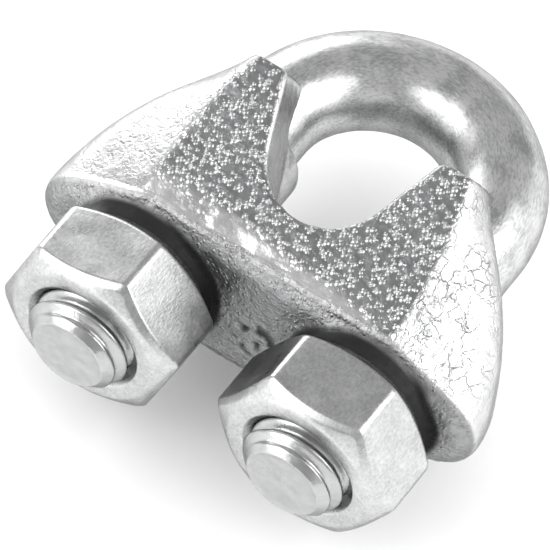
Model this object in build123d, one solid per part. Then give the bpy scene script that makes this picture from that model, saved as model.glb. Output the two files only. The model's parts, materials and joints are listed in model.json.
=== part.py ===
from build123d import *
import os
from math import cos, radians, sin, tan

# A wire rope clip: a U-bolt, a cast saddle and two hexagon nuts. Millimetres.
# The rope lies along Z and its axis passes through the origin. X runs across the two legs.
# The legs lie along Y, with the bow of the U-bolt towards +Y and the nuts towards -Y.

# Rope and thread
ROPE_RADIUS = 4.0
THREAD_RADIUS = 4.0
WIRE_RADIUS = 3.6
LEG_X = 9.0
NUT_ACROSS_FLATS = 13.0
NUT_HEIGHT = 6.5

# Places along the legs
BEARING_Y = -10.7
SHOULDER_Y = BEARING_Y + 2.2
TUBE_TOP_Y = BEARING_Y + 14.2
HORN_EDGE_Y = BEARING_Y + 14.1
HORN_TOP_Y = BEARING_Y + 18.4
BOW_CENTRE_Y = BEARING_Y + 16.9
LEG_PROTRUSION = 1.9
LEG_END_Y = BEARING_Y - NUT_HEIGHT - LEG_PROTRUSION
THREAD_TOP_Y = BEARING_Y + 7.0

# U-bolt details
END_CHAMFER = 1.1
RUNOUT_LENGTH = 0.8

# Nut details: the angle of one corner from +X towards +Z, for each nut
NUT_TURN = {"left_nut": 11.0, "right_nut": -2.0}
NUT_FACE_RADIUS = 5.8
NUT_CHAMFER_ANGLE = 30.0
NUT_BORE_RADIUS = THREAD_RADIUS + 0.05
NUT_COUNTERSINK_RADIUS = 4.6

# How far a cutting tool runs past the surface that it cuts
OVERRUN = 1.0

# Saddle details
LEG_HOLE_RADIUS = 4.2
TUBE_RADIUS = 4.7
SEAT_HALF_LENGTH = 2.5
MOUTH_Z = 13.0
MOUTH_RADIUS = 5.2
FLANK_ANGLE = 19.0
PAD_RADIUS = 5.8
PAD_HEIGHT = 1.4
END_FACE_Y = BEARING_Y + PAD_HEIGHT
END_INSET = 1.1
HORN_GAP_HALF = 4.4
HORN_EDGE_Z = 11.1
HORN_INNER_TOP_Z = 4.0

# The saddle's outline at levels along the legs. Each level gives Y, the half thickness of
# the flat front, the X where a bevel meets it, the bevel's outer edge (X and Z), and the
# furthest X of the rounded end.
SADDLE_LEVELS = [
    (SHOULDER_Y, 6.5, 10.3, 15.3, 4.0, 18.2),
    (BEARING_Y + 5.5, 7.75, 10.3, 15.2, 5.1, 17.6),
    (BEARING_Y + 8.0, 8.7, 10.1, 14.4, 6.2, 16.4),
    (BEARING_Y + 11.0, 9.9, 9.8, 12.8, 7.4, 14.3),
    (HORN_EDGE_Y, 11.1, 9.1, 10.6, 8.3, 11.5),
    (HORN_TOP_Y, 12.7, 7.9, 8.8, 8.6, 9.2),
]
SADDLE_HALF_WIDTH = SADDLE_LEVELS[0][-1]


def turned_about_leg(points, leg_x):
    """Solid of revolution about a leg's axis, from radius and Y pairs."""
    face = make_face(Polyline(*points, close=True))
    return revolve(face, Axis.Y).moved(Location((leg_x, 0, 0)))


def leg(leg_x):
    """One straight leg, thicker where it is threaded, with a chamfered end."""
    end_radius = THREAD_RADIUS - END_CHAMFER
    return turned_about_leg(
        [
            (0, LEG_END_Y),
            (end_radius, LEG_END_Y),
            (THREAD_RADIUS, LEG_END_Y + END_CHAMFER),
            (THREAD_RADIUS, THREAD_TOP_Y - RUNOUT_LENGTH),
            (WIRE_RADIUS, THREAD_TOP_Y),
            (WIRE_RADIUS, BOW_CENTRE_Y),
            (0, BOW_CENTRE_Y),
        ],
        leg_x,
    )


def u_bolt():
    """The bent wire: a half ring on top of two legs."""
    section = Plane((LEG_X, BOW_CENTRE_Y, 0), z_dir=(0, 1, 0)) * Circle(WIRE_RADIUS)
    bow_axis = Axis((0, BOW_CENTRE_Y, 0), (0, 0, 1))
    bow = revolve(section, bow_axis, 180)
    return bow + leg(-LEG_X) + leg(LEG_X)


def nut(leg_x, turn):
    """A hexagon nut, chamfered on both faces, with a countersunk bore."""
    corner_radius = NUT_ACROSS_FLATS / 2 / cos(radians(30))
    outer_y = BEARING_Y - NUT_HEIGHT
    face_plane = Plane((leg_x, BEARING_Y, 0), x_dir=(1, 0, 0), z_dir=(0, -1, 0))
    hexagon = face_plane * RegularPolygon(corner_radius, 6, rotation=turn)
    prism = extrude(hexagon, NUT_HEIGHT)
    reach = corner_radius + OVERRUN
    drop = (reach - NUT_FACE_RADIUS) * tan(radians(NUT_CHAMFER_ANGLE))
    chamfers = turned_about_leg(
        [
            (0, BEARING_Y),
            (NUT_FACE_RADIUS, BEARING_Y),
            (reach, BEARING_Y - drop),
            (reach, outer_y + drop),
            (NUT_FACE_RADIUS, outer_y),
            (0, outer_y),
        ],
        leg_x,
    )
    sink = NUT_COUNTERSINK_RADIUS - NUT_BORE_RADIUS
    bore = turned_about_leg(
        [
            (0, BEARING_Y + OVERRUN),
            (NUT_COUNTERSINK_RADIUS, BEARING_Y + OVERRUN),
            (NUT_COUNTERSINK_RADIUS, BEARING_Y),
            (NUT_BORE_RADIUS, BEARING_Y - sink),
            (NUT_BORE_RADIUS, outer_y + sink),
            (NUT_COUNTERSINK_RADIUS, outer_y),
            (NUT_COUNTERSINK_RADIUS, outer_y - OVERRUN),
            (0, outer_y - OVERRUN),
        ],
        leg_x,
    )
    return (prism & chamfers) - bore


def saddle_outline(y, half_thickness, bevel_x, corner_x, corner_z, end_x):
    """Closed outline across the legs: flat front and back, bevels and rounded ends."""

    def rounded_end(side):
        bevel = Vector(side * (corner_x - bevel_x), 0, corner_z - half_thickness)
        mirrored = Vector(-bevel.X, 0, bevel.Z)
        corner = (side * corner_x, y, corner_z)
        under_corner = (side * corner_x, y, -corner_z)
        furthest = (side * end_x, y, 0)
        return [
            Line((side * bevel_x, y, half_thickness), corner),
            Spline(corner, furthest, under_corner, tangents=[bevel, mirrored]),
            Line(under_corner, (side * bevel_x, y, -half_thickness)),
        ]

    def flat(z):
        return Line((-bevel_x, y, z), (bevel_x, y, z))

    edges = [flat(half_thickness), *rounded_end(1), flat(-half_thickness), *rounded_end(-1)]
    return make_face(edges)


def saddle_blank():
    """The casting before its groove and holes: it narrows across the legs towards the bow."""
    body = loft([saddle_outline(*level) for level in SADDLE_LEVELS])
    half_thickness, bevel_x, corner_x, corner_z, end_x = SADDLE_LEVELS[0][1:]
    end_face = saddle_outline(
        END_FACE_Y,
        half_thickness - END_INSET,
        bevel_x - END_INSET / 2,
        corner_x - END_INSET,
        corner_z - END_INSET / 2,
        end_x - END_INSET,
    )
    return body + loft([saddle_outline(*SADDLE_LEVELS[0]), end_face], ruled=True)


def groove_profile(z, radius):
    """The rope groove's section: a round bottom and two flanks that lean outwards."""
    lean = radians(FLANK_ANGLE)
    foot_x, foot_y = radius * cos(lean), -radius * sin(lean)
    top_y = HORN_TOP_Y + OVERRUN
    top_x = foot_x + (top_y - foot_y) * tan(lean)
    return make_face(
        [
            Line((-top_x, top_y, z), (-foot_x, foot_y, z)),
            ThreePointArc((-foot_x, foot_y, z), (0, -radius, z), (foot_x, foot_y, z)),
            Line((foot_x, foot_y, z), (top_x, top_y, z)),
            Line((top_x, top_y, z), (-top_x, top_y, z)),
        ]
    )


def rope_groove():
    """What the groove takes away: a straight seat that flares at its front and back."""
    seat_end = groove_profile(SEAT_HALF_LENGTH, ROPE_RADIUS)
    seat = extrude(seat_end, 2 * SEAT_HALF_LENGTH, dir=(0, 0, -1))
    mouth = loft([seat_end, groove_profile(MOUTH_Z, MOUTH_RADIUS)], ruled=True)
    return seat + mouth + mirror(mouth, Plane.XY)


def along_leg(leg_x, radius, start_y, end_y):
    """Round bar on a leg's axis."""
    plane = Plane((leg_x, start_y, 0), x_dir=(1, 0, 0), z_dir=(0, 1, 0))
    return extrude(plane * Circle(radius), end_y - start_y)


def horn_cut(side):
    """What is cut off above the horns, on the front (1) or the back (-1)."""
    far_y, far_z = HORN_TOP_Y + OVERRUN, MOUTH_Z + OVERRUN
    points = [
        (0, HORN_EDGE_Y, side * HORN_EDGE_Z),
        (0, HORN_TOP_Y, side * HORN_INNER_TOP_Z),
        (0, far_y, side * HORN_INNER_TOP_Z),
        (0, far_y, side * far_z),
        (0, HORN_EDGE_Y, side * far_z),
    ]
    profile = make_face(Polyline(*points, close=True))
    return extrude(profile, SADDLE_HALF_WIDTH, both=True, dir=(1, 0, 0))


def saddle():
    """The casting: rope groove, four horns beside the wire, leg tubes and nut pads."""
    body = saddle_blank() - rope_groove()
    between_legs = Box(2 * LEG_X, 4 * HORN_TOP_Y, 2 * MOUTH_Z)
    for leg_x in (-LEG_X, LEG_X):
        body += along_leg(leg_x, PAD_RADIUS, BEARING_Y, SHOULDER_Y)
        body += along_leg(leg_x, TUBE_RADIUS, SHOULDER_Y, TUBE_TOP_Y) & between_legs
    for leg_x in (-LEG_X, LEG_X):
        body -= along_leg(leg_x, LEG_HOLE_RADIUS, BEARING_Y - OVERRUN, HORN_TOP_Y + OVERRUN)
    gap_plane = Plane((0, TUBE_TOP_Y, 0), x_dir=(1, 0, 0), z_dir=(0, 1, 0))
    gap = gap_plane * Rectangle(2 * SADDLE_HALF_WIDTH, 2 * HORN_GAP_HALF)
    body -= extrude(gap, HORN_TOP_Y - TUBE_TOP_Y + OVERRUN)
    for side in (1, -1):
        body -= horn_cut(side)
    return body


def main():
    os.makedirs("parts", exist_ok=True)
    export_step(u_bolt(), "parts/u_bolt.step")
    export_step(saddle(), "parts/saddle.step")
    export_step(nut(-LEG_X, NUT_TURN["left_nut"]), "parts/left_nut.step")
    export_step(nut(LEG_X, NUT_TURN["right_nut"]), "parts/right_nut.step")


main()
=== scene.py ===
import bpy
import json
import math
import numpy as np
from mathutils import Matrix, Vector


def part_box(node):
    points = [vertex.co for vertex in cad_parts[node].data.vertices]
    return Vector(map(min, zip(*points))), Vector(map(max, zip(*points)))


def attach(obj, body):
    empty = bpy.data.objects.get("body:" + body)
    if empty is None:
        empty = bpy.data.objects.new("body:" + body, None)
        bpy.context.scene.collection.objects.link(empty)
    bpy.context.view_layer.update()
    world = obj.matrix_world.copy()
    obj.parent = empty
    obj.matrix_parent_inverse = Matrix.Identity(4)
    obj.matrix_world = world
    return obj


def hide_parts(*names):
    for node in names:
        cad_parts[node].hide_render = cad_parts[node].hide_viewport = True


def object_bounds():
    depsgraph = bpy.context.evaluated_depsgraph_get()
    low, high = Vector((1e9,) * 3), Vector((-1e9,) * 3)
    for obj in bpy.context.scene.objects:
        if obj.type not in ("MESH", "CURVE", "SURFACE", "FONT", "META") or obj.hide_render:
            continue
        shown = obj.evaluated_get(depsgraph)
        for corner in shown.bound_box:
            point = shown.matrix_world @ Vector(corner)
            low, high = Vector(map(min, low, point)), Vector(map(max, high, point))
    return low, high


# Wire rope clip: a zinc-plated U-bolt, a cast saddle and two hexagon nuts.
# The pieces are modelled in millimetres and turned into metres by add_piece().
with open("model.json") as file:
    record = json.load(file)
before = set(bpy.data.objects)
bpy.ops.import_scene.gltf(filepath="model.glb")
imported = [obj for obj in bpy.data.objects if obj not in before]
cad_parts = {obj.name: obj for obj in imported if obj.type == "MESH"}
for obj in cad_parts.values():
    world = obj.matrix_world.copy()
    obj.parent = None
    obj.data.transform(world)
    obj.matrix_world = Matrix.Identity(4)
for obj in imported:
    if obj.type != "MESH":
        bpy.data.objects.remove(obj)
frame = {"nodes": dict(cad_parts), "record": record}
cad_low, cad_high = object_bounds()

MM = 0.001

# ---- Places read from the frame, in millimetres ----


def corner(node, high):
    """One corner of a CAD node's box, in millimetres."""
    return np.array(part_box(node)[1 if high else 0]) / MM


LEG_X = frame["record"]["mounts"][2]["pos_m"][0] / MM
WIRE_END_Y = corner("u_bolt", False)[1]
THREAD_RADIUS = corner("u_bolt", True)[2]
BEARING_Y = corner("left_nut", True)[1]
NUT_END_Y = corner("left_nut", False)[1]

# ---- Dimensions of the details, in millimetres and degrees ----
WIRE_RADIUS = 3.6
BOW_CENTRE_Y = corner("u_bolt", True)[1] - LEG_X - WIRE_RADIUS
THREAD_PITCH = 1.25
THREAD_DEPTH = 0.62
THREAD_LENGTH = 20.5
THREAD_RUNOUT = 1.2
THREAD_CLEARANCE = 0.07
THREAD_FLAT = 0.16
END_CHAMFER = 1.1
NUT_APOTHEM = 6.5
NUT_CORNER_RADIUS = 0.75
NUT_BEVEL = 0.42
NUT_BEVEL_DROP = 0.5
NUT_FACE_RADIUS = 5.8
NUT_COUNTERSINK_RADIUS = 4.6
NUT_CHAMFER_SLOPE = math.tan(math.radians(30))
NUT_TURN = {"left_nut": 11.0, "right_nut": -2.0}


# ---- Repeatable noise on arrays of points ----


def lattice_random(cell, salt):
    """A repeatable random number from 0 to 1 for each integer cell."""
    n = cell[:, 0] * 73856093 ^ cell[:, 1] * 19349663 ^ cell[:, 2] * 83492791 ^ salt * 40503
    n = ((n ^ (n >> 13)) * 1274126177) & 0xFFFFFFFF
    n = ((n ^ (n >> 16)) * 668265263) & 0xFFFFFFFF
    return ((n >> 8) & 0xFFFF) / 65535.0


def value_noise(points, size, salt=0):
    """Smooth noise from -1 to 1 with features of about that size."""
    scaled = points / size
    base = np.floor(scaled).astype(np.int64)
    part = scaled - base
    part = part * part * (3 - 2 * part)
    total = np.zeros(len(points))
    for corner_index in range(8):
        offset = np.array([corner_index & 1, corner_index >> 1 & 1, corner_index >> 2])
        share = np.prod(np.where(offset, part, 1 - part), axis=1)
        total += share * lattice_random(base + offset, salt)
    return 2 * total - 1


def cobbles(points, size, salt=0):
    """Distances to the nearest and second nearest of one random point in each cell, in cells."""
    scaled = points / size
    base = np.floor(scaled).astype(np.int64)
    near = np.full(len(points), np.inf)
    second = near.copy()
    for i in (-1, 0, 1):
        for j in (-1, 0, 1):
            for k in (-1, 0, 1):
                cell = base + np.array([i, j, k])
                jitter = np.stack([lattice_random(cell, salt + a) for a in (1, 2, 3)], axis=1)
                away = np.linalg.norm(cell + jitter - scaled, axis=1)
                second = np.minimum(second, np.maximum(near, away))
                near = np.minimum(near, away)
    return near, second


def ramp(value, low, high):
    """0 below low, 1 above high and smooth between them."""
    part = np.clip((value - low) / (high - low), 0, 1)
    return part * part * (3 - 2 * part)


# ---- Mesh helpers ----


def add_piece(node, points, faces, material):
    """A new piece, from points in millimetres, that stands for a CAD node and rides with it."""
    name = "plated_" + node
    mesh = bpy.data.meshes.new(name)
    mesh.from_pydata((np.asarray(points) * MM).tolist(), [], faces)
    mesh.update()
    mesh.polygons.foreach_set("use_smooth", [True] * len(mesh.polygons))
    mesh.materials.append(material)
    piece = bpy.data.objects.new(name, mesh)
    bpy.context.scene.collection.objects.link(piece)
    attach(piece, node)
    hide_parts(node)
    return piece


def add_mask(piece, name, values):
    """Stores a number for each point of a piece, for its material to read."""
    attribute = piece.data.attributes.new(name, "FLOAT", "POINT")
    attribute.data.foreach_set("value", values.astype(np.float32))


def grid_faces(rows, columns, closed_rows=False):
    """Quads of a grid whose columns close on themselves, and its rows too if asked."""
    faces = []
    for row in range(rows if closed_rows else rows - 1):
        here, there = row * columns, (row + 1) % rows * columns
        for column in range(columns):
            after = (column + 1) % columns
            faces.append((here + column, here + after, there + after, there + column))
    return faces


def thread_radius(along, turn, crest, depth):
    """Radius of a right-hand thread about the outward axis, at that distance and angle."""
    part = np.mod(along / THREAD_PITCH - turn / (2 * math.pi), 1)
    flank_share = 1 - 2 * THREAD_FLAT
    height = np.clip((np.abs(2 * part - 1) - THREAD_FLAT) / flank_share, 0, 1)
    rounded = height * height * (3 - 2 * height)
    return crest - depth * (1 - 0.5 * (height + rounded))


# ---- U-bolt ----
RING_POINTS = 96
THREAD_STEP = 0.1
WIRE_STEP = 0.3
PLAIN_LEG_ROWS = 12
GRAIN_STRETCH = 0.35
# Heights of the wire's slow and quick wavering, the nicks all over, and the leg ends' dents
WAVER_HEIGHT = 0.03
RIPPLE_HEIGHT = 0.012
NICK_HEIGHT = 0.008
END_DISH = 0.05
END_DENT = 0.02
END_CROWN = 0.04
# The leg ends' rings, as shares of the rim's radius
END_RINGS = (0.985, 0.94, 0.86, 0.74, 0.6, 0.45, 0.3, 0.15)


def wire_stations():
    """Rows along the wire: centre, outward direction and distance from the near thread end."""
    leg_length = BOW_CENTRE_Y - WIRE_END_Y
    threaded = np.arange(0, THREAD_LENGTH, THREAD_STEP)
    plain = np.linspace(THREAD_LENGTH, leg_length, PLAIN_LEG_ROWS, endpoint=False)
    down = np.concatenate([threaded, plain])
    turns = np.linspace(math.pi, 0, int(math.pi * LEG_X / WIRE_STEP) + 1)
    centres, outward, distance = [], [], []
    for d in down:
        centres.append((-LEG_X, WIRE_END_Y + d, 0))
        outward.append((-1, 0, 0))
        distance.append(d)
    for turn in turns:
        direction = np.array([math.cos(turn), math.sin(turn), 0])
        centres.append(tuple(np.array([0, BOW_CENTRE_Y, 0]) + LEG_X * direction))
        outward.append(tuple(direction))
        distance.append(leg_length)
    for d in down[::-1]:
        centres.append((LEG_X, WIRE_END_Y + d, 0))
        outward.append((1, 0, 0))
        distance.append(d)
    return np.array(centres, float), np.array(outward, float), np.array(distance, float)


def wire_skin(centres, outward, distance):
    """Points of the wire ring by ring, and for each how far it is past the thread, 0 to 1."""
    angle = np.linspace(0, 2 * math.pi, RING_POINTS, endpoint=False)
    on_left = outward[:, :1] < 0
    turn = np.where(on_left, math.pi - angle, angle)
    thread = thread_radius(-centres[:, 1:2], turn, THREAD_RADIUS, THREAD_DEPTH)
    past = ramp(distance, THREAD_LENGTH - THREAD_RUNOUT, THREAD_LENGTH)[:, None]
    radius = thread * (1 - past) + WIRE_RADIUS * past
    radius = np.minimum(radius, THREAD_RADIUS - END_CHAMFER + distance[:, None])
    up = np.array([0, 0, 1.0])
    spokes = np.cos(angle)[None, :, None] * outward[:, None, :]
    spokes = spokes + np.sin(angle)[None, :, None] * up
    points = centres[:, None, :] + radius[:, :, None] * spokes
    points, spokes = points.reshape(-1, 3), spokes.reshape(-1, 3)
    unthreaded = np.repeat(past[:, 0], RING_POINTS)
    waver = WAVER_HEIGHT * value_noise(points, 4.0, 5)
    waver = waver + RIPPLE_HEIGHT * value_noise(points, 1.1, 6)
    nicks = NICK_HEIGHT * value_noise(points, 0.45, 7)
    return points + (waver * unthreaded + nicks)[:, None] * spokes, unthreaded


def close_end(points, faces, first, middle, flipped):
    """Closes the ring of points that starts at first with a dented disc of smaller rings."""
    ring = list(range(first, first + RING_POINTS))
    rim = np.array(points[first : first + RING_POINTS])
    after = [*range(1, RING_POINTS), 0]
    for share in END_RINGS:
        inner = middle + (rim - middle) * share
        dish = END_DISH * value_noise(inner, 1.3, 11) + END_DENT * value_noise(inner, 0.5, 12)
        inner[:, 1] += dish * (1 - share) ** 0.3 + END_CROWN * ramp(1 - share, 0, 0.1)
        fresh = list(range(len(points), len(points) + RING_POINTS))
        points.extend(inner.tolist())
        for a, b in enumerate(after):
            quad = (ring[a], ring[b], fresh[b], fresh[a])
            faces.append(quad[::-1] if flipped else quad)
        ring = fresh
    tip = len(points)
    points.append(np.mean([points[i] for i in ring], axis=0).tolist())
    for a, b in enumerate(after):
        triangle = (ring[a], ring[b], tip)
        faces.append(triangle[::-1] if flipped else triangle)


def drawn_places(centres, points):
    """Places for the wire's grain, as if the wire were straight, drawn out along its length."""
    angle = np.linspace(0, 2 * math.pi, RING_POINTS, endpoint=False)
    steps = np.linalg.norm(np.diff(centres, axis=0), axis=1)
    run = np.repeat(np.concatenate([[0], np.cumsum(steps)]), RING_POINTS) * GRAIN_STRETCH
    section = np.stack([np.cos(angle), np.sin(angle)], axis=1) * WIRE_RADIUS
    places = np.array(points)
    places[: len(run)] = np.column_stack([np.tile(section, (len(centres), 1)), run])
    return places * MM


def u_bolt(material):
    """The bent wire with a thread on each leg, as one closed mesh."""
    centres, outward, distance = wire_stations()
    skin, past_thread = wire_skin(centres, outward, distance)
    faces = grid_faces(len(centres), RING_POINTS)
    points = skin.tolist()
    close_end(points, faces, 0, centres[0], True)
    close_end(points, faces, len(skin) - RING_POINTS, centres[-1], False)
    piece = add_piece("u_bolt", points, faces, material)
    places = drawn_places(centres, points)
    attribute = piece.data.attributes.new("drawn", "FLOAT_VECTOR", "POINT")
    attribute.data.foreach_set("vector", places.ravel())
    unthreaded = np.zeros(len(points))
    unthreaded[: len(past_thread)] = past_thread
    add_mask(piece, "unthreaded", unthreaded)
    return piece


# ---- Nuts ----
FLAT_COLUMNS = 12
CORNER_COLUMNS = 9
THREAD_ROWS = 62
THREAD_INSET = 0.15
# How far each of the profile's inner corners is rounded, from the outer countersink's rim round
# to the inner one's, and in how many rows
EDGE_SOFTNESS = (0.12, 0.2, 0.12, 0.16, 0.3, 0.16, 0.12)
EDGE_ROWS = 5
WEAR_HEIGHT = 0.004
SAG_HEIGHT = 0.008
FLAT_NORMAL_WEIGHT = 80


def nut_angles():
    """Column angles from one corner round the nut, close together at each rounded corner."""
    centre = (NUT_APOTHEM - NUT_CORNER_RADIUS) / math.cos(math.radians(30))
    touch_across = NUT_CORNER_RADIUS * math.sin(math.radians(30))
    touch_along = centre + NUT_CORNER_RADIUS * math.cos(math.radians(30))
    half = math.atan2(touch_across, touch_along)
    sector = math.radians(60)
    bend = np.linspace(-half, half, CORNER_COLUMNS)
    flat = np.linspace(half, sector - half, FLAT_COLUMNS + 2)[1:-1]
    one = np.concatenate([bend, flat])
    return np.concatenate([one + sector * k for k in range(6)]), half


def hexagon_radius(angle, half):
    """Distance from the axis to a hexagon with rounded corners; angle 0 is a corner."""
    sector = math.radians(60)
    off = np.mod(angle + sector / 2, sector) - sector / 2
    flat = NUT_APOTHEM / np.cos(np.abs(off) - sector / 2)
    centre = (NUT_APOTHEM - NUT_CORNER_RADIUS) / math.cos(sector / 2)
    inside = np.clip(NUT_CORNER_RADIUS**2 - (centre * np.sin(off)) ** 2, 0, None)
    bend = centre * np.cos(off) + np.sqrt(inside)
    return np.where(np.abs(off) <= half, bend, flat)


def softened(corners, sizes):
    """Rows of a profile whose inner corners are rounded. A corner is (radius, along) arrays."""
    rows = [corners[0]]
    for before, at, after, size in zip(corners, corners[1:], corners[2:], sizes, strict=False):
        ends = []
        for other in (before, after):
            way = other - at
            length = np.linalg.norm(way, axis=0)
            ends.append(at + way / length * np.minimum(size, 0.45 * length))
        for share in np.linspace(0, 1, EDGE_ROWS):
            first = ends[0] * (1 - share) + at * share
            last = at * (1 - share) + ends[1] * share
            rows.append(first * (1 - share) + last * share)
    rows.append(corners[-1])
    return rows


def nut(name, leg_x, material):
    """A hexagon nut with an internal thread, countersinks and chamfered faces."""
    angle, half = nut_angles()
    turn = angle + math.radians(NUT_TURN[name])
    outline = hexagon_radius(angle, half)
    ones = np.ones(len(angle))
    bearing, outer = -BEARING_Y, -NUT_END_Y
    drop = (outline - NUT_FACE_RADIUS) * NUT_CHAMFER_SLOPE
    bevel_start = outline - NUT_BEVEL
    bevel_drop = (bevel_start - NUT_FACE_RADIUS) * NUT_CHAMFER_SLOPE
    crest = THREAD_RADIUS + THREAD_CLEARANCE
    sink = NUT_COUNTERSINK_RADIUS - (crest - THREAD_DEPTH)
    outside = [
        np.array([(crest - THREAD_DEPTH) * ones, (outer - sink) * ones]),
        np.array([NUT_COUNTERSINK_RADIUS * ones, outer * ones]),
        np.array([NUT_FACE_RADIUS * ones, outer * ones]),
        np.array([bevel_start, outer - bevel_drop]),
        np.array([outline, outer - bevel_drop - NUT_BEVEL_DROP]),
        np.array([outline, bearing + drop]),
        np.array([NUT_FACE_RADIUS * ones, bearing * ones]),
        np.array([NUT_COUNTERSINK_RADIUS * ones, bearing * ones]),
        np.array([(crest - THREAD_DEPTH) * ones, (bearing + sink) * ones]),
    ]
    rows = softened(outside, EDGE_SOFTNESS)[1:-1]
    bore = []
    for along in np.linspace(bearing + THREAD_INSET, outer - THREAD_INSET, THREAD_ROWS):
        radius = thread_radius(along, turn, crest, THREAD_DEPTH)
        cone = NUT_COUNTERSINK_RADIUS - min(along - bearing, outer - along)
        bore.append(np.array([np.maximum(radius, cone), along * ones]))
    rows = rows + bore
    points = []
    for radius, along in rows:
        points.append(
            np.stack([leg_x + radius * np.cos(turn), -along, radius * np.sin(turn)], axis=1)
        )
    points = np.concatenate(points)
    faces = [face[::-1] for face in grid_faces(len(rows), len(angle), closed_rows=True)]
    wear = WEAR_HEIGHT * value_noise(points, 0.9, 21)
    sag = SAG_HEIGHT * value_noise(points, 3.0, 22)
    points[:, 1] += wear + sag
    piece = add_piece(name, points, faces, material)
    weighted = piece.modifiers.new("even_normals", "WEIGHTED_NORMAL")
    weighted.weight = FLAT_NORMAL_WEIGHT
    return piece


# ---- Saddle ----
SADDLE_VOXEL = 0.195
SMOOTHING = 0.5
SMOOTHING_ROUNDS = 12
LAST_SMOOTHING_ROUNDS = 3
# The holes' edges stay crisp: the skin starts this far from a leg's axis and is full at that
HOLE_SHARE = 0.12
SKIN_START = 4.4
SKIN_FULL = 5.6
SHOULDER_Y = BEARING_Y + 2.2
RIDGE_HALF_WIDTH = 0.34
SMOOTH_ABOVE_RIDGE = 2.6
# The painted shadow round each pad: its edge's distance from the leg's axis, and how much that
# grows towards the right
RECESS_EDGE = 6.3
RECESS_LEAN = 0.35
# The pits between the nuts: X and Z of their middle, and their reach
PITS_AT = (0.4, -1.6)
PITS_RADIUS = 2.6
# Heights of the relief
LUMP_HEIGHT = 0.04
GRIT_HEIGHT = 0.02
PEBBLE_HEIGHT = 0.03
STONE_HEIGHT = 0.035
SMEAR_HEIGHT = 0.08
PIT_DEPTH = 0.12
RIDGE_HEIGHT = 0.15


def remeshed(node, voxel):
    """Points, faces and edges of a CAD node in millimetres, as an even grid of quads."""
    mesh = frame["nodes"][node].data.copy()
    mesh.transform(Matrix.Scale(1 / MM, 4))
    shape = bpy.data.objects.new("shape", mesh)
    bpy.context.scene.collection.objects.link(shape)
    remesh = shape.modifiers.new("even_grid", "REMESH")
    remesh.mode = "VOXEL"
    remesh.voxel_size = voxel
    shown = shape.evaluated_get(bpy.context.evaluated_depsgraph_get())
    even = bpy.data.meshes.new_from_object(shown)
    points = np.zeros(len(even.vertices) * 3)
    even.vertices.foreach_get("co", points)
    edges = np.zeros(len(even.edges) * 2, np.int64)
    even.edges.foreach_get("vertices", edges)
    faces = [tuple(face.vertices) for face in even.polygons]
    bpy.data.objects.remove(shape)
    bpy.data.meshes.remove(mesh)
    bpy.data.meshes.remove(even)
    return points.reshape(-1, 3), faces, edges.reshape(-1, 2)


def relaxed(values, edges, share, rounds):
    """Each value moves towards the mean of its neighbours by its share, that many times."""
    values = values if values.ndim > 1 else values[:, None]
    count = len(values)
    a, b = edges.T
    neighbours = np.bincount(edges.ravel(), minlength=count)[:, None]
    for _ in range(rounds):
        total = np.stack(
            [np.bincount(a, v[b], count) + np.bincount(b, v[a], count) for v in values.T], axis=1
        )
        values = values + share * (total / neighbours - values)
    return values


def point_normals(points, faces):
    """Unit normals at the points of a mesh of quads."""
    quads = np.array(faces)
    corners = points[quads]
    across = np.cross(corners[:, 2] - corners[:, 0], corners[:, 3] - corners[:, 1])
    normals = np.zeros_like(points)
    for k in range(4):
        for axis in range(3):
            normals[:, axis] += np.bincount(quads[:, k], across[:, axis], len(points))
    return normals / np.maximum(np.linalg.norm(normals, axis=1), 1e-12)[:, None]


def casting_line(points, skin):
    """Where the raised line runs round the shoulder."""
    waver = 0.12 * value_noise(points, 2.2, 61)
    ridge = 1 - ramp(np.abs(points[:, 1] - SHOULDER_Y - waver), 0.08, RIDGE_HALF_WIDTH)
    ridge = ridge * skin * ramp(np.abs(points[:, 2]), 1.0, 4.0)
    return ridge * ramp(value_noise(points, 1.6, 62), -0.9, -0.2)


def pebbled_share(points):
    """How far the skin is past the smeared strip above the casting line, 0 to 1."""
    across, along, _ = points.T
    edge = SHOULDER_Y + SMOOTH_ABOVE_RIDGE * (0.75 + 0.35 * value_noise(points, 2.0, 63))
    edge = edge - 0.16 * np.abs(across) * (across > 0)
    return ramp(along, edge - 1.2, edge)


def painted_recess_shadow(points, leg_distance, skin):
    """Painted shadow round a pad, thicker on its right."""
    across, along, _ = points.T
    rightward = (across - LEG_X * np.sign(across)) / np.maximum(leg_distance, 1)
    edge = RECESS_EDGE + 0.2 * value_noise(points, 3.0, 64) + RECESS_LEAN * rightward
    dirt = ramp(edge - leg_distance, -0.2, 0.4)
    dirt = dirt * ramp(along, BEARING_Y + 0.02, BEARING_Y + 0.3) * skin
    return dirt * ramp(SHOULDER_Y - along, 0.0, 0.8)


def casting_pits(points, foot):
    """Where the pits between the nuts are."""
    across, _, height = points.T
    away = np.hypot(across - PITS_AT[0], height - PITS_AT[1]) / PITS_RADIUS
    pits = ramp(value_noise(points, 0.55, 65) + 0.5 * value_noise(points, 1.3, 66), 0.1, 0.45)
    return pits * foot * (1 - ramp(away, 0.5, 1.0))


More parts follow.
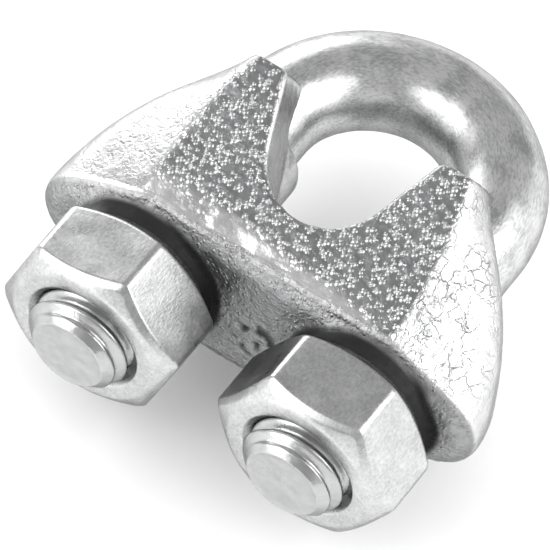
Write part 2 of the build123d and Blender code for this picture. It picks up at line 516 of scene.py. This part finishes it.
def saddle_masks(points, normals, leg_distance, skin):
    """Where each kind of skin is on the casting, from 0 to 1."""
    across, along, height = points.T
    outward = normals[:, 0] * np.sign(across)
    facet = ramp(np.abs(normals[:, 2]), 0.72, 0.88) * ramp(np.abs(height), 4.0, 6.0)
    facet = facet * ramp(-outward, -0.3, -0.18)
    flank = ramp(outward, 0.18, 0.3) * ramp(np.abs(across), 8.0, 9.0)
    flank = flank * ramp(along, BEARING_Y + 0.5, BEARING_Y + 4) * (1 - facet)
    foot = ramp(-normals[:, 1], 0.35, 0.6) * ramp(SHOULDER_Y + 0.2 - along, -0.15, 0.15)
    pebbled = facet * pebbled_share(points)
    return {
        "pebbled": pebbled,
        "smear": facet - pebbled,
        "flank": flank,
        "foot": foot,
        "ridge": casting_line(points, skin),
        "recess_shade": painted_recess_shadow(points, leg_distance, skin),
        "pits": casting_pits(points, foot),
        # The flanks are rougher away from the middle of their height, and calmer on the left
        "rugged": 0.35 + 0.65 * ramp(np.abs(height), 1.0, 5.0),
        "calm": 1 - 0.75 * ramp(-across, 9.0, 11.0),
    }


def saddle_relief(points, masks, skin):
    """How far each point of the casting's skin is lifted."""
    near, second = cobbles(points, 0.85, 31)
    stones = ramp(second - near, 0.02, 0.4)
    near_small, _ = cobbles(points, 0.62, 41)
    pebbles = np.clip(1 - (near_small / 0.55) ** 2, 0, 1) - 0.4
    smears = value_noise(points, 1.2, 53) + 0.6 * value_noise(points, 0.6, 54)
    lift = LUMP_HEIGHT * value_noise(points, 2.6, 51)
    lift += GRIT_HEIGHT * value_noise(points, 0.7, 52) * (1 - 0.6 * masks["flank"])
    lift += PEBBLE_HEIGHT * pebbles * (masks["pebbled"] + masks["foot"])
    lift += SMEAR_HEIGHT * smears * masks["smear"]
    lift += STONE_HEIGHT * (stones - 0.7) * masks["flank"] * masks["calm"] * masks["rugged"]
    lift += RIDGE_HEIGHT * masks["ridge"] - PIT_DEPTH * masks["pits"]
    return lift * (0.1 + 0.9 * skin)


def saddle(material):
    """The casting: soft edges and a cobbled skin, made from the CAD solid."""
    points, faces, edges = remeshed("saddle", SADDLE_VOXEL)
    leg_distance = np.hypot(np.abs(points[:, 0]) - LEG_X, points[:, 2])
    skin = ramp(leg_distance, SKIN_START, SKIN_FULL)
    share = SMOOTHING * (HOLE_SHARE + (1 - HOLE_SHARE) * skin[:, None])
    points = relaxed(points, edges, share, SMOOTHING_ROUNDS)
    points = relaxed(points, edges, SMOOTHING, LAST_SMOOTHING_ROUNDS)
    normals = relaxed(point_normals(points, faces), edges, SMOOTHING, SMOOTHING_ROUNDS)
    normals /= np.linalg.norm(normals, axis=1)[:, None]
    masks = saddle_masks(points, normals, leg_distance, skin)
    lift = saddle_relief(points, masks, skin)
    points = points + lift[:, None] * normals

    piece = add_piece("saddle", points, faces, material)
    for name in ("pebbled", "smear", "foot", "ridge"):
        add_mask(piece, name, masks[name])
    add_mask(piece, "cracked", masks["flank"] * masks["rugged"] * (0.4 + 0.6 * masks["calm"]))
    # Painted shadow round the pads, with the pits between the nuts darkened too
    add_mask(piece, "recess_shade", np.maximum(masks["recess_shade"], 0.85 * masks["pits"]))
    return piece


# ---- Materials ----
EDGE_TINT = (0.45, 0.45, 0.45)
# Greys of the casting: painted highlight, stains and shade, deeper painted shade, painted shadow
CAST_PAINTED_HIGHLIGHT = (0.92, 0.92, 0.915)
CAST_STAIN_AND_SHADE = (0.4, 0.405, 0.41)
CAST_SHADED = (0.22, 0.22, 0.225)
CAST_SHADOW_AND_PITS = (0.05, 0.05, 0.05)
WIRE_GREYS = (0.46, 0.465, 0.47), (0.74, 0.74, 0.74)
THREAD_GREYS = (0.42, 0.425, 0.43), (0.58, 0.58, 0.58)
NUT_GREYS = (0.47, 0.475, 0.48), (0.69, 0.69, 0.69)
FLOOR_GREYS = (0.86, 0.86, 0.86), (0.88, 0.88, 0.88)
FLOOR_ROUGHNESS = 0.9


class Tree:
    """A material's node tree, with short ways to add and join nodes."""

    def __init__(self, name, metallic=1.0):
        self.material = bpy.data.materials.new(name)
        self.material.use_nodes = True
        self.nodes = self.material.node_tree.nodes
        self.links = self.material.node_tree.links
        self.shader = self.nodes["Principled BSDF"]
        self.shader.inputs["Specular Tint"].default_value = (*EDGE_TINT, 1)
        self.shader.inputs["Metallic"].default_value = metallic
        self.place = self.add("ShaderNodeTexCoord").outputs["Object"]

    def add(self, kind, inputs=(), **settings):
        """A node with its settings, and its inputs set to values or joined to sockets."""
        node = self.nodes.new(kind)
        for key, value in settings.items():
            setattr(node, key, value)
        for key, value in dict(inputs).items():
            self.set(node.inputs[key], value)
        return node

    def set(self, socket, value):
        """Joins a socket to another, or gives it a value."""
        if isinstance(value, bpy.types.NodeSocket):
            self.links.new(value, socket)
        else:
            socket.default_value = value

    def noise(self, size, detail=2.0, stretch=None, place=None):
        """Noise from 0 to 1 with features of about size millimetres."""
        place = place or self.place
        if stretch:
            place = self.add("ShaderNodeMapping", {"Vector": place, "Scale": stretch}).outputs[0]
        inputs = {"Vector": place, "Scale": 1 / (size * MM), "Detail": detail}
        return self.add("ShaderNodeTexNoise", inputs).outputs[0]

    def warped(self, size, shift):
        """The place on the object, pushed about by up to shift millimetres."""
        inputs = {"Vector": self.place, "Scale": 1 / (size * MM), "Detail": 1.0}
        push = self.add("ShaderNodeTexNoise", inputs).outputs["Color"]
        push = self.vector("SUBTRACT", push, (0.5, 0.5, 0.5))
        scaled = self.add("ShaderNodeVectorMath", {0: push}, operation="SCALE")
        scaled.inputs["Scale"].default_value = 2 * shift * MM
        return self.vector("ADD", self.place, scaled.outputs[0])

    def cells(self, size, feature="F1", place=None):
        """Distance inside random cells of size millimetres."""
        inputs = {"Vector": place or self.place, "Scale": 1 / (size * MM)}
        return self.add("ShaderNodeTexVoronoi", inputs, feature=feature).outputs["Distance"]

    def domes(self, distance, radius):
        """Round bumps from 0 to 1 on a flat ground, from a distance in cells."""
        return self.fit(self.math("MULTIPLY", distance, distance), 0.0, radius**2, 1.0, 0.0)

    def math(self, operation, *values):
        """A Math node's result."""
        node = self.add("ShaderNodeMath", operation=operation)
        for socket, value in zip(node.inputs, values, strict=False):
            self.set(socket, value)
        return node.outputs[0]

    def fit(self, value, low, high, to_low, to_high):
        """A value's range mapped to another, clamped."""
        inputs = {"Value": value, "From Min": low, "From Max": high}
        inputs.update({"To Min": to_low, "To Max": to_high})
        return self.add("ShaderNodeMapRange", inputs).outputs[0]

    def vector(self, operation, first, second):
        """A Vector Math node's result."""
        node = self.add("ShaderNodeVectorMath", {0: first, 1: second}, operation=operation)
        return node.outputs[0]

    def times(self, first, second):
        return self.math("MULTIPLY", first, second)

    def plus(self, first, second):
        return self.math("ADD", first, second)

    def most(self, first, second):
        return self.math("MAXIMUM", first, second)

    def rest(self, share):
        """What is left of 1."""
        return self.math("SUBTRACT", 1.0, share)

    def finish(self, colour, roughness, normal):
        """Joins the results to the shader, and gives back the material."""
        self.set(self.shader.inputs["Base Color"], colour)
        self.set(self.shader.inputs["Roughness"], roughness)
        self.set(self.shader.inputs["Normal"], normal)
        return self.material

    def attribute(self, name):
        """A number stored on the mesh's points."""
        return self.add("ShaderNodeAttribute", attribute_name=name).outputs["Fac"]

    def grey(self, share, first, second):
        """A colour between two greys, each a tuple or a socket."""
        node = self.add("ShaderNodeMix", data_type="RGBA")
        self.set(node.inputs["Factor"], share)
        for key, tone in (("A", first), ("B", second)):
            self.set(node.inputs[key], (*tone, 1) if isinstance(tone, tuple) else tone)
        return node.outputs["Result"]

    def bump(self, height, distance, before=None):
        """A normal raised by height times distance millimetres."""
        inputs = {"Height": height, "Distance": distance * MM, "Strength": 1.0}
        if before is not None:
            inputs["Normal"] = before
        return self.add("ShaderNodeBump", inputs).outputs[0]


def cast_zinc():
    """Plated casting: pebbles on the flat front and back, cracked cobbles on the flanks."""
    tree = Tree("cast_zinc")
    names = ("pebbled", "cracked", "ridge", "recess_shade", "smear", "foot")
    pebbled, cracked, ridge, recess_shade, smear, foot = (tree.attribute(name) for name in names)

    pebbles = tree.domes(tree.cells(0.58), 0.44)
    grains = tree.domes(tree.cells(0.42), 0.38)
    waver = tree.warped(0.5, 0.25)
    stones = tree.fit(tree.cells(0.95, "DISTANCE_TO_EDGE", place=waver), 0.0, 0.1, 0.0, 1.0)
    chips = tree.fit(tree.cells(0.42, "DISTANCE_TO_EDGE", place=waver), 0.0, 0.09, 0.7, 1.0)
    patchy = tree.fit(tree.noise(2.2, 2.0), 0.35, 0.6, 0.15, 1.0)
    cracks = tree.times(tree.times(tree.rest(tree.times(stones, chips)), patchy), cracked)
    ground = tree.times(tree.rest(tree.most(pebbles, grains)), pebbled)

    stain = tree.fit(tree.noise(1.6, 4.0), 0.35, 0.65, 0.0, 0.45)
    # Painted shade on the band under the shoulder, mottled and blotched, less on its grains
    shade_mottle = tree.fit(tree.noise(0.9, 5.0), 0.3, 0.62, 1.0, 0.45)
    blots = tree.fit(tree.noise(2.4, 4.0), 0.62, 0.7, 0.0, 0.5)
    band_shade = tree.times(tree.times(tree.plus(shade_mottle, blots), foot), tree.rest(tree.times(grains, 0.8)))
    # Stains and dark cracks, with painted shade on the ground between the pebbles and on the band
    shade = tree.most(tree.most(tree.most(tree.times(cracks, 0.8), ground), stain), band_shade)
    # Painted highlight: the casting line and the smeared strip above it are made paler
    painted_highlight = tree.plus(tree.times(ridge, 1.2), tree.times(smear, 0.5))
    shade = tree.fit(tree.math("SUBTRACT", shade, painted_highlight), -0.6, 1.0, 0.0, 1.0)
    colour = tree.grey(shade, CAST_PAINTED_HIGHLIGHT, CAST_STAIN_AND_SHADE)
    # Deeper painted shade on the band under the shoulder and the ground between the pebbles
    shaded = tree.most(tree.times(foot, 0.55), tree.times(ground, 0.45))
    colour = tree.grey(shaded, colour, CAST_SHADED)
    # Painted shadow round the pads, and the darkened pits
    colour = tree.grey(recess_shade, colour, CAST_SHADOW_AND_PITS)

    rough = tree.fit(tree.noise(0.8, 3.0), 0.3, 0.7, 0.22, 0.36)
    rough = tree.plus(rough, tree.times(tree.plus(foot, ridge), 0.12))
    rough = tree.plus(rough, tree.times(recess_shade, 0.4))
    rough = tree.plus(rough, tree.times(pebbled, 0.04))

    normal = tree.bump(tree.noise(0.25, 3.0), 0.03)
    normal = tree.bump(tree.times(tree.noise(0.5, 4.0), foot), 0.12, normal)
    normal = tree.bump(tree.times(pebbles, pebbled), 0.11, normal)
    normal = tree.bump(tree.times(grains, tree.most(pebbled, foot)), 0.06, normal)
    normal = tree.bump(tree.rest(cracks), 0.04, normal)
    return tree.finish(colour, rough, normal)


def wire_zinc():
    """Plated wire: drawn smooth, with a fine mottle that runs along it, and plainer threads."""
    tree = Tree("wire_zinc")
    unthreaded = tree.attribute("unthreaded")
    drawn = tree.add("ShaderNodeAttribute", attribute_name="drawn").outputs["Vector"]
    streaks = tree.noise(0.13, 3.0, place=drawn)
    cloud = tree.noise(2.0, 3.0)
    mottle = tree.fit(tree.plus(tree.times(streaks, 1.4), cloud), 0.95, 1.4, 0.0, 1.0)
    wire_tone = tree.grey(mottle, *WIRE_GREYS)
    thread_tone = tree.grey(tree.noise(0.8, 3.0), *THREAD_GREYS)
    colour = tree.grey(unthreaded, thread_tone, wire_tone)
    rough = tree.fit(cloud, 0.3, 0.7, 0.26, 0.34)
    normal = tree.bump(tree.times(streaks, unthreaded), 0.012)
    normal = tree.bump(tree.noise(0.12, 2.0), 0.004, normal)
    dents = tree.times(tree.noise(0.9, 3.0), tree.rest(unthreaded))
    normal = tree.bump(dents, 0.05, normal)
    return tree.finish(colour, rough, normal)


def nut_zinc():
    """Plated nut: satin smooth with a fine brushed grain."""
    tree = Tree("nut_zinc")
    cloud = tree.noise(1.8, 3.0)
    grain = tree.noise(0.16, 2.0, stretch=(1.0, 0.45, 1.0))
    speck = tree.noise(0.24, 3.0)
    mottle = tree.fit(tree.plus(tree.plus(cloud, grain), speck), 1.15, 1.85, 0.0, 1.0)
    colour = tree.grey(mottle, *NUT_GREYS)
    rough = tree.fit(cloud, 0.3, 0.7, 0.26, 0.34)
    normal = tree.bump(grain, 0.009)
    normal = tree.bump(speck, 0.006, normal)
    return tree.finish(colour, rough, normal)


def floor_paint():
    """Plain pale floor."""
    tree = Tree("floor_paint", metallic=0.0)
    tree.set(tree.shader.inputs["Base Color"], tree.grey(tree.noise(60.0, 2.0), *FLOOR_GREYS))
    tree.shader.inputs["Roughness"].default_value = FLOOR_ROUGHNESS
    return tree.material


# ---- Studio ----
FLOOR_HALF = 1.5
SKY_BRIGHTNESS = 0.48
SOFTBOX_DISTANCE = 1.2
# Azimuth from +X towards +Y, elevation, width and height in degrees, and brightness
SOFTBOXES = {
    "right_softbox": (14, 37, 52, 42, 3.0),
    "horizon_softbox": (38, 8, 64, 14, 0.75),
    "back_softbox": (145, 14, 44, 34, 3.4),
    "left_softbox": (228, 33, 46, 50, 2.6),
    "low_softbox": (245, 4.7, 22, 10.2, 3.4),
}
FILL_HEIGHT = 1.6
FILL_SIZE = 2.4
FILL_BRIGHTNESS = 1.1
CAMERA_AZIMUTH = 26.9
CAMERA_ELEVATION = 54.5
CAMERA_ROLL = 8.1
CAMERA_DISTANCE = 0.6
CAMERA_AIM = Vector((-0.21, -6.41, 2.80)) * MM
VIEW_WIDTH = 38.43 * MM
SENSOR_WIDTH = 36.0
CLIP_RANGE = 0.05, 5.0


def floor():
    """A plain floor just under the clip."""
    z = cad_low.z
    corners = [(-1, -1), (1, -1), (1, 1), (-1, 1)]
    mesh = bpy.data.meshes.new("floor")
    mesh.from_pydata([(x * FLOOR_HALF, y * FLOOR_HALF, z) for x, y in corners], [], [(0, 1, 2, 3)])
    mesh.materials.append(floor_paint())
    plane = bpy.data.objects.new("floor", mesh)
    bpy.context.scene.collection.objects.link(plane)


def softbox(name, azimuth, elevation, width, height, brightness):
    """A flat light of even brightness that faces the clip from that direction."""
    azimuth, elevation, width, height = (
        math.radians(v) for v in (azimuth, elevation, width, height)
    )
    data = bpy.data.lights.new(name, "AREA")
    data.shape = "RECTANGLE"
    data.size = 2 * SOFTBOX_DISTANCE * math.tan(width / 2)
    data.size_y = 2 * SOFTBOX_DISTANCE * math.tan(height / 2)
    data.energy = brightness * math.pi * data.size * data.size_y
    light = bpy.data.objects.new(name, data)
    bpy.context.scene.collection.objects.link(light)
    way = Vector(
        (
            math.cos(azimuth) * math.cos(elevation),
            math.sin(azimuth) * math.cos(elevation),
            math.sin(elevation),
        )
    )
    light.location = way * SOFTBOX_DISTANCE
    light.rotation_mode = "QUATERNION"
    light.rotation_quaternion = way.to_track_quat("Z", "Y")
    light.visible_camera = False


def studio_light():
    """A grey room with white softboxes round the clip and an even light from above."""
    world = bpy.data.worlds.new("studio")
    bpy.context.scene.world = world
    world.use_nodes = True
    background = world.node_tree.nodes["Background"]
    background.inputs["Strength"].default_value = SKY_BRIGHTNESS
    background.inputs["Color"].default_value = (1, 1, 1, 1)
    for name, (azimuth, elevation, width, height, brightness) in SOFTBOXES.items():
        softbox(name, azimuth, elevation, width, height, brightness)
    fill = bpy.data.lights.new("floor_fill", "AREA")
    fill.size = FILL_SIZE
    fill.energy = FILL_BRIGHTNESS * math.pi * FILL_SIZE**2
    light = bpy.data.objects.new("floor_fill", fill)
    bpy.context.scene.collection.objects.link(light)
    light.location = (0, 0, FILL_HEIGHT)
    light.visible_camera = light.visible_glossy = False
    bpy.context.scene.view_settings.view_transform = "Standard"


def camera():
    """A long lens, high above the nuts and a little to their right."""
    azimuth, elevation, roll = (
        math.radians(v) for v in (CAMERA_AZIMUTH, CAMERA_ELEVATION, CAMERA_ROLL)
    )
    back = Vector(
        (
            math.sin(azimuth) * math.cos(elevation),
            -math.cos(azimuth) * math.cos(elevation),
            math.sin(elevation),
        )
    )
    level = Vector((math.cos(azimuth), math.sin(azimuth), 0))
    right = level * math.cos(roll) + back.cross(level) * math.sin(roll)
    up = back.cross(right)
    data = bpy.data.cameras.new("camera")
    data.sensor_width = SENSOR_WIDTH
    data.lens = SENSOR_WIDTH * CAMERA_DISTANCE / VIEW_WIDTH
    data.clip_start, data.clip_end = CLIP_RANGE
    eye = bpy.data.objects.new("camera", data)
    bpy.context.scene.collection.objects.link(eye)
    turn = Matrix((right, up, back)).transposed()
    eye.matrix_world = Matrix.Translation(CAMERA_AIM + back * CAMERA_DISTANCE) @ turn.to_4x4()
    bpy.context.scene.camera = eye


u_bolt(wire_zinc())
saddle(cast_zinc())
nut_metal = nut_zinc()
nut("left_nut", -LEG_X, nut_metal)
nut("right_nut", LEG_X, nut_metal)
floor()
studio_light()
camera()
